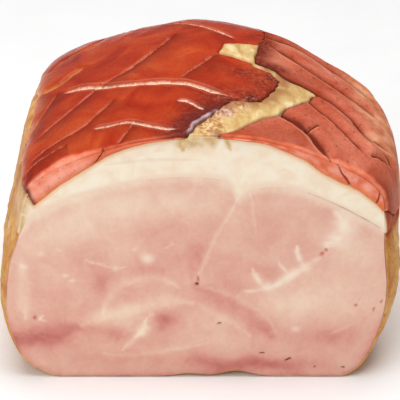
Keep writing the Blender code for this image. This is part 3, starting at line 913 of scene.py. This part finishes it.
def rind_half(left, columns, band, splits):
    """One half of the rind with its relief and marks, as a grid."""
    base, out, angle, depth, turned, cover, above_foot = rind_plate(left, columns, band)
    relief, marks = score_marks(angle, depth)
    where = np.stack([unroll(angle), depth, (0.0 if left else 300.0) + 0 * depth], -1)
    rough = partial(noise, where)

    def patchy(size, seed, middle, swing):
        return np.clip(middle + swing * rough(size, seed), 0, 1)

    from_gap, from_side = (edge_away(angle, depth, edge) for edge in (
        (LEFT_GAP, LEFT_OUTER) if left else (RIGHT_GAP, RIGHT_OUTER)))
    wrap = read(WRAP_LEFT if left else WRAP_RIGHT, angle) + 0.8 * rough(3.0, 22)
    soft = 3.4 if left else 2.2
    band_share = 1 - ease((depth - wrap + 0.5 * soft) / soft)
    # painted highlight along the upper middle of the rind's cut section, where it bulges
    crown = fall(above_foot - 4.8, 2.0)
    # a dark line along the rind's edges: burnt edge, darkened further as painted shade
    rim = stretch(from_gap, 1.0, depth, -2, 2, 86, 6)
    if left:
        curl = stretch(from_gap, 5.0, depth, -1, 3, 24, 8)
        frayed = stretch(from_gap, 12.0, depth, 22, 6, 62, 6)
        scorch = stretch(from_gap, 11.0, depth, -2, 2, 32, 8)
        burnt = np.maximum(frayed * patchy(5, 11, 0.85, 0.7), scorch * patchy(4, 11, 0.8, 0.5))
        rim = np.maximum(rim * patchy(4, 20, 0.65, 0.6),
                         fall(from_side, 3.0) * ease((13 - depth) / 6))
        band_share = band_share * (1 - fall(from_side, 2.4) * ease((depth + 4) / 3))
        lumps, dry = 0.15, 0
        ember = 0.9 * ease((134 - angle) / 14)
        crown = crown * (1 - ember)
        # pale golden towards the left half's outer edge: partly the skin's own tan, partly painted sheen
        golden = np.exp(-from_side / 5.0) * ease((depth - 7) / 9)
    else:
        frayed = stretch(from_gap, 7.0, depth, 58, 5, 98, 8)
        curl, burnt, scorch, frayed = 0 * depth, 0.8 * frayed, 0.5 * frayed, 0.3 * frayed
        # the front of the right half is rougher, and the paler, pinker colour it gets is painted glare
        lumps, dry = 0.5, 1 - ease((depth - 98 + 14 * rough(16, 23)) / 30)
        ember = patchy(5, 24, 0.45 + 0.5 * ease((angle - 56) / 10), 0.5)
        crown = crown * patchy(4, 26, 0.35, 1.5)
        # pale golden towards the right half's outer edge: partly the skin's own tan, partly painted sheen
        golden = ease((46 - angle + 5 * rough(9, 25)) / 14) * ease((depth - 15) / 14)
        marks["shade"] = np.maximum.reduce([
            marks["shade"], 0.6 * fall(depth - 5, 13) * ease((angle - 52) / 5),
            fall(from_gap, 6.0) * ease((depth - 46) / 5),
            0.75 * fall(depth, 11) * ease((42 - angle) / 10)])
    relief += (0.35 * rough(20, 12) + 0.15 * rough(6, 13) + 0.05 * rough(1.9, 14)) * turned
    relief += curl * (1.7 + 0.6 * rough(3, 15))
    relief += frayed * (0.5 * rough(2.6, 16) + 0.35 * rough(1.2, 17))
    relief += band_share * (0.8 * fall(above_foot - 4.0, 3.0) + lumps * rough(5, 18)
                            + 0.12 * rough(1.6, 19))
    for places in splits:
        split = stroke(unroll(angle), depth, 1.0, [(unroll(turn), back) for turn, back in places])
        relief -= split
        # painted shade in the split
        marks["groove"] = np.maximum(marks["groove"], 0.75 * split)
    from_edge = np.clip(1 - cover / RIND_LIP, 0, 1)
    relief -= RIND_LIP * (1 - np.sqrt(1 - from_edge ** 2))      # round off the plate's edges
    marks.update(
        band=band_share, burnt=burnt, char=0.8 * scorch, ember=ember, dry=dry + 0 * depth,
        foot=1 - ease(above_foot / 3.6), crown=crown * band_share, rim=rim, side=golden * turned,
        # a pale lilac streak along the curled edge's wall: a painted highlight
        sheen=curl * fall(from_gap - 0.6) * (0.8 + 0.5 * rough(3, 21)))
    places = with_skirt(base + out * relief[..., None], out)
    return places, {name: np.pad(value, len(SKIRT), mode="edge")
                    for name, value in marks.items()}, False


# ---------------- materials


def tint(red, green, blue):
    """A colour from its screen values, 0 to 255."""
    values = (value / 255 for value in (red, green, blue))
    linear = [v / 12.92 if v <= 0.04045 else ((v + 0.055) / 1.055) ** 2.4 for v in values]
    return (*linear, 1.0)


class Look:
    """A material's nodes, with a short call for each kind. Colours are screen values."""

    def __init__(self, name):
        self.material = bpy.data.materials.new(name)
        self.material.use_nodes = True
        self.tree = self.material.node_tree
        self.where = self.add("TexCoord", "Object", {})

    def wire(self, node, inputs):
        """Link or set a node's inputs, by name or number."""
        for name, value in inputs.items():
            if isinstance(value, bpy.types.NodeSocket):
                self.tree.links.new(value, node.inputs[name])
            else:
                node.inputs[name].default_value = value

    def add(self, kind, output, inputs, **settings):
        """Add a node and return one of its outputs."""
        node = self.tree.nodes.new("ShaderNode" + kind)
        for name, value in settings.items():
            setattr(node, name, value)
        self.wire(node, inputs)
        return node.outputs[output]

    def mark(self, name):
        return self.add("Attribute", "Fac", {}, attribute_name=name)

    def noise(self, size, detail=3, roughness=0.55, distortion=0, where=None):
        """Noise with lumps of this size, in mm."""
        return self.add("TexNoise", "Fac", {
            "Vector": where or self.where, "Scale": 1 / (size * MM), "Detail": detail,
            "Roughness": roughness, "Distortion": distortion})

    def cells(self, size):
        """Distance to the nearest of scattered points, this far apart in mm."""
        return self.add("TexVoronoi", "Distance", {"Vector": self.where, "Scale": 1 / (size * MM)})

    def maths(self, operation, first, second):
        return self.add("Math", 0, {0: first, 1: second}, operation=operation)

    def scale(self, value, low, high, to_low=0, to_high=1):
        """Carry a value's range to another, held at both ends."""
        limits = {"From Min": low, "From Max": high, "To Min": to_low, "To Max": to_high}
        return self.add("MapRange", "Result", {"Value": value, **limits},
                        interpolation_type="SMOOTHSTEP")

    def ramp(self, value, *stops):
        """Colours at places from 0 to 1."""
        colour = self.add("ValToRGB", "Color", {"Fac": value})
        elements = colour.node.color_ramp.elements
        while len(elements) < len(stops):
            elements.new(0.5)
        for element, (place, *screen) in zip(elements, stops):
            element.position = place
            element.color = tint(*screen)
        return colour

    def blend(self, share, *colours):
        """Go from the first of two colours to the second."""
        under, over = (tint(*c) if isinstance(c, tuple) else c for c in colours)
        return self.add("Mix", 2, {0: share, 6: under, 7: over}, data_type="RGBA")

    def lay(self, colour, *layers):
        """Lay colours over another, each up to a share, as its mark goes from 0 to 1 or as given."""
        for mark, share, over, *limits in layers:
            amount = self.scale(self.mark(mark), *(limits or (0, 1)), 0, share)
            colour = self.blend(amount, colour, over)
        return colour

    def finish(self, colour, roughness, bumps=(), **others):
        """Wire the shader. The bumps are pairs of a height from 0 to 1 and its size in mm."""
        values = {"Base Color": colour, "Roughness": roughness}
        values.update((name.replace("_", " "), value) for name, value in others.items())
        normal = {}
        for height, size in bumps:
            normal["Normal"] = self.add("Bump", "Normal", {
                "Height": height, "Strength": 1.0, "Distance": size * MM, **normal})
        self.wire(self.tree.nodes["Principled BSDF"], values | normal)
        return self.material


def smoked(look):
    """The golden skin that smoke has given the sides, baked darker below the rind's right edge."""
    golden = look.ramp(look.noise(13, 5, 0.6, 0.25), (0.32, 186, 112, 50), (0.45, 208, 142, 71),
                       (0.57, 222, 164, 94), (0.72, 234, 190, 132))
    flecks = look.scale(look.noise(2.4, 3, 0.7), 0.54, 0.72, 0, 0.6)
    golden = look.blend(flecks, golden, (152, 88, 42))
    return look.lay(golden, ("roast", 0.9, (176, 60, 18)))


def lean_look():
    """Moist cooked meat, pink with paler marbling, golden where smoke has reached it."""
    look = Look("lean_meat_cut")
    strands, mottle = look.noise(2.2, 3, 0.6, 0.8), look.noise(8, 4, 0.6, 0.8)
    blush = look.maths("ADD", look.mark("blush"), look.scale(strands, 0.3, 0.7, -0.03, 0.03))
    blush = look.maths("ADD", blush, look.scale(mottle, 0.3, 0.7, -0.05, 0.05))
    meat = look.ramp(blush, (0, 247, 226, 200), (0.22, 241, 206, 182), (0.45, 232, 183, 162),
                     (0.65, 224, 160, 143), (0.85, 208, 130, 117), (1, 192, 104, 94))
    meat = look.blend(look.maths("MULTIPLY", look.mark("marble"), 0.9), meat, (252, 236, 214))
    meat = look.lay(meat, ("blood", 0.8, (196, 92, 84), 0.1, 1),
                    # dark in the holes: painted shade
                    ("hole", 1, (110, 52, 42), 0.3, 1))
    crust = look.scale(look.mark("crust"), 0.05, 0.95)
    return look.finish(
        look.blend(crust, meat, smoked(look)), look.scale(look.noise(3), 0.35, 0.65, 0.36, 0.52),
        bumps=((mottle, 0.22), (strands, 0.08), (look.noise(0.45, 2), 0.04)),
        Subsurface_Weight=0.12, Subsurface_Scale=0.003, Subsurface_Radius=(1.0, 0.45, 0.3),
        Specular_IOR_Level=look.scale(crust, 0, 1, 0.35, 0.02))


def fat_look():
    """Cream fat, yellower where the rind has drawn back, tan where smoke has reached it."""
    look = Look("ham_fat")
    soft = look.noise(7, 3, 0.5, 0.5)
    cream = look.ramp(soft, (0.35, 247, 225, 198), (0.5, 251, 233, 208), (0.65, 252, 238, 216))
    cream = look.lay(cream, ("glow", 0.65, (243, 186, 132)), ("faint", 0.3, (226, 196, 168)),
                     ("meat", 0.9, (245, 216, 192)), ("crease", 0.75, (158, 126, 100)))
    along = look.add("Mapping", "Vector", {"Vector": look.where, "Scale": (1.0, 1 / 2.2, 1.0)})
    yellow = look.ramp(look.noise(5, 4, 0.55, 0.4, along), (0.28, 188, 142, 84),
                       (0.42, 208, 168, 104), (0.55, 222, 188, 128), (0.7, 240, 220, 174))
    crumbly = look.ramp(look.noise(1.9, 4, 0.7), (0.36, 120, 66, 34), (0.47, 190, 132, 78),
                        (0.56, 222, 180, 116), (0.66, 246, 218, 176))
    scraps = look.ramp(look.noise(2, 3, 0.7), (0.36, 150, 76, 60), (0.46, 226, 166, 148),
                       (0.56, 250, 224, 214))
    yellow = look.lay(yellow, ("frayed", 0.85, crumbly, 0.1, 0.8), ("torn", 0.95, scraps, 0.2, 0.7),
                      ("edge", 0.8, (160, 96, 52), 0, 0.9))
    colour = look.blend(look.mark("gap"), cream, yellow)
    colour = look.blend(look.mark("rim"), colour, (224, 176, 122))
    crust = look.mark("crust")
    return look.finish(
        look.blend(crust, colour, smoked(look)),
        look.scale(look.noise(3), 0.35, 0.65, 0.28, 0.45),
        bumps=((soft, 0.2), (look.noise(1.2, 4, 0.6), 0.06)),
        Subsurface_Weight=0.15, Subsurface_Scale=0.003, Subsurface_Radius=(1.0, 0.7, 0.45),
        Specular_IOR_Level=look.scale(crust, 0, 1, 0.4, 0.02))


def rind_look():
    """Baked skin: glazed red-brown, rougher with painted glare on the right, pale in the scores, burnt
    where torn.
    """
    look = Look("ham_rind")
    dry = look.mark("dry")
    broad, fine = look.noise(22, 3, 0.5, 0.9), look.noise(1.4, 4, 0.65)
    glazed = look.ramp(broad, (0.3, 156, 40, 18), (0.45, 176, 52, 24), (0.58, 188, 66, 30),
                       (0.72, 202, 86, 44))
    # painted glare: the glazed skin's colours made paler and pinker where the skin is rougher
    glare_skin = look.ramp(broad, (0.3, 182, 80, 52), (0.45, 204, 106, 80), (0.58, 216, 124, 98),
                     (0.72, 226, 144, 118))
    skin = look.blend(dry, glazed, glare_skin)
    skin = look.blend(look.scale(fine, 0.32, 0.62, 0.25, 0), skin, (120, 36, 20))
    pores = look.scale(look.cells(4.0), 0.08, 0.26, 1, 0)
    pores = look.maths("MULTIPLY", pores, look.scale(dry, 0, 1, 0.15, 0.5))
    skin = look.blend(pores, skin, (104, 36, 24))
    # pale golden near the rind's outer edges: the skin's own tan with painted sheen
    golden = look.ramp(look.noise(8, 4, 0.6), (0.38, 198, 112, 72), (0.5, 220, 146, 106),
                       (0.62, 232, 172, 134))
    # the lip colour: painted highlights on the scores' lips and the grooves' crests, and the thin cuts'
    # own pale colour
    skin = look.lay(skin, ("shade", 0.8, look.blend(dry, (124, 32, 16), (148, 50, 24))),
                    ("lip", 0.8, (224, 136, 104)), ("side", 0.75, golden))
    salmon = look.ramp(look.noise(6, 3, 0.6), (0.3, 226, 114, 82), (0.5, 242, 144, 114),
                       (0.7, 250, 170, 144))
    # the crown mark: a painted highlight on the section's bulge
    salmon = look.lay(salmon, ("ember", 0.9, (214, 100, 62)), ("crown", 0.6, (251, 172, 152)),
                      ("foot", 0.7, (228, 122, 66)))
    salmon = look.blend(look.scale(look.cells(3.0), 0.06, 0.2, 0.5, 0), salmon, (168, 60, 40))
    burnt = look.ramp(look.noise(2, 4, 0.7), (0.36, 84, 26, 18), (0.49, 116, 46, 32),
                      (0.63, 164, 88, 66))
    pale = look.ramp(fine, (0.35, 214, 136, 104), (0.6, 250, 214, 188))
    colour = look.blend(look.mark("band"), skin, salmon)
    colour = look.blend(look.mark("burnt"), colour, burnt)
    colour = look.lay(
        # rim: burnt edge darkened further as painted shade
        colour, ("char", 0.75, (96, 28, 26), 0, 0.8), ("rim", 0.8, (96, 34, 24), 0.1, 0.9),
        # a painted highlight: the pale lilac streak on the curl's wall
        ("sheen", 0.85, (214, 186, 194), 0.2, 1), ("tan", 1, (210, 148, 78), 0.1, 0.9),
        # groove: painted shade in the folds, the splits and along the open scores' edges
        ("open", 1, pale, 0.1, 0.8), ("groove", 0.85, (96, 28, 20), 0.1, 0.9))
    gloss = look.scale(look.noise(9, 3, 0.6), 0.3, 0.7, 0.20, 0.36)
    grain = look.maths("MULTIPLY", fine, look.scale(dry, 0, 1, 0.4, 1))
    return look.finish(
        colour, look.maths("ADD", gloss, look.scale(dry, 0, 1, 0, 0.25)),
        bumps=((look.noise(5, 3, 0.5), 0.35), (grain, 0.12)),
        Subsurface_Weight=0.04, Subsurface_Scale=0.002, Subsurface_Radius=(1.0, 0.35, 0.2),
        Specular_IOR_Level=look.scale(dry, 0, 1, 0.04, 0.015),
        Coat_Weight=look.scale(dry, 0, 1, 0.14, 0.04),
        Coat_Roughness=look.scale(dry, 0, 1, 0.08, 0.3))


# ---------------- the ham


def build_ham():
    make_piece("lean", [lean_cut(), lean_side()], lean_look(), "lean_meat")
    make_piece("fat", [fat_cap()], fat_look(), "fat_cap")
    rind = rind_look()
    left = rind_half(True, RIND_COLUMNS_LEFT, BAND_LEFT, SPLITS_LEFT)
    right = rind_half(False, RIND_COLUMNS_RIGHT, BAND_RIGHT, SPLITS_RIGHT)
    make_piece("rind_left", [left], rind, "fat_cap")
    make_piece("rind_right", [right], rind, "fat_cap")


# ---------------- floor, lights and camera


def build_floor():
    bpy.ops.mesh.primitive_plane_add(size=8.0)
    floor = bpy.context.object
    floor.name = "floor"
    look = Look("floor_pale")
    paper = look.ramp(look.noise(60), (0.4, 250, 250, 250), (0.6, 252, 252, 252))
    floor.data.materials.append(look.finish(paper, 0.9))


def put(name, data, place, target):
    """Put a lamp or camera at a place, looking at a target."""
    thing = bpy.data.objects.new(name, data)
    bpy.context.scene.collection.objects.link(thing)
    across, behind, up = (b - a for a, b in zip(place, target))
    thing.location = place
    thing.rotation_euler = (math.atan2(math.hypot(across, behind), -up), 0.0,
                            math.atan2(-across, behind))
    return thing


def soft_light(name, place, size, power):
    lamp = bpy.data.lights.new(name, "AREA")
    lamp.size = size
    lamp.energy = power
    put(name, lamp, place, (0.0, 0.0, 0.06))


def light_scene():
    world = bpy.data.worlds.new("studio")
    world.use_nodes = True
    background = world.node_tree.nodes["Background"]
    background.inputs["Color"].default_value = (1.0, 1.0, 1.0, 1.0)
    background.inputs["Strength"].default_value = 0.22
    bpy.context.scene.world = world
    soft_light("key", (-0.45, -0.85, 0.75), 0.7, 4.8)
    soft_light("top", (0.0, 0.0, 1.4), 1.2, 18.0)
    bpy.context.scene.view_settings.view_transform = "Standard"


def place_camera():
    """A long lens from the front, looking a little down on the ham."""
    elevation, distance = math.radians(28.0), 1.0
    x, y, z = 0.0008, CUT_PLANE * MM + 0.07, 0.0562
    camera = bpy.data.cameras.new("camera")
    camera.lens = 186.3
    camera.sensor_width = 36.0
    place = (x, y - distance * math.cos(elevation), z + distance * math.sin(elevation))
    bpy.context.scene.camera = put("camera", camera, place, (x, y, z))


build_ham()
build_floor()
light_scene()
place_camera()
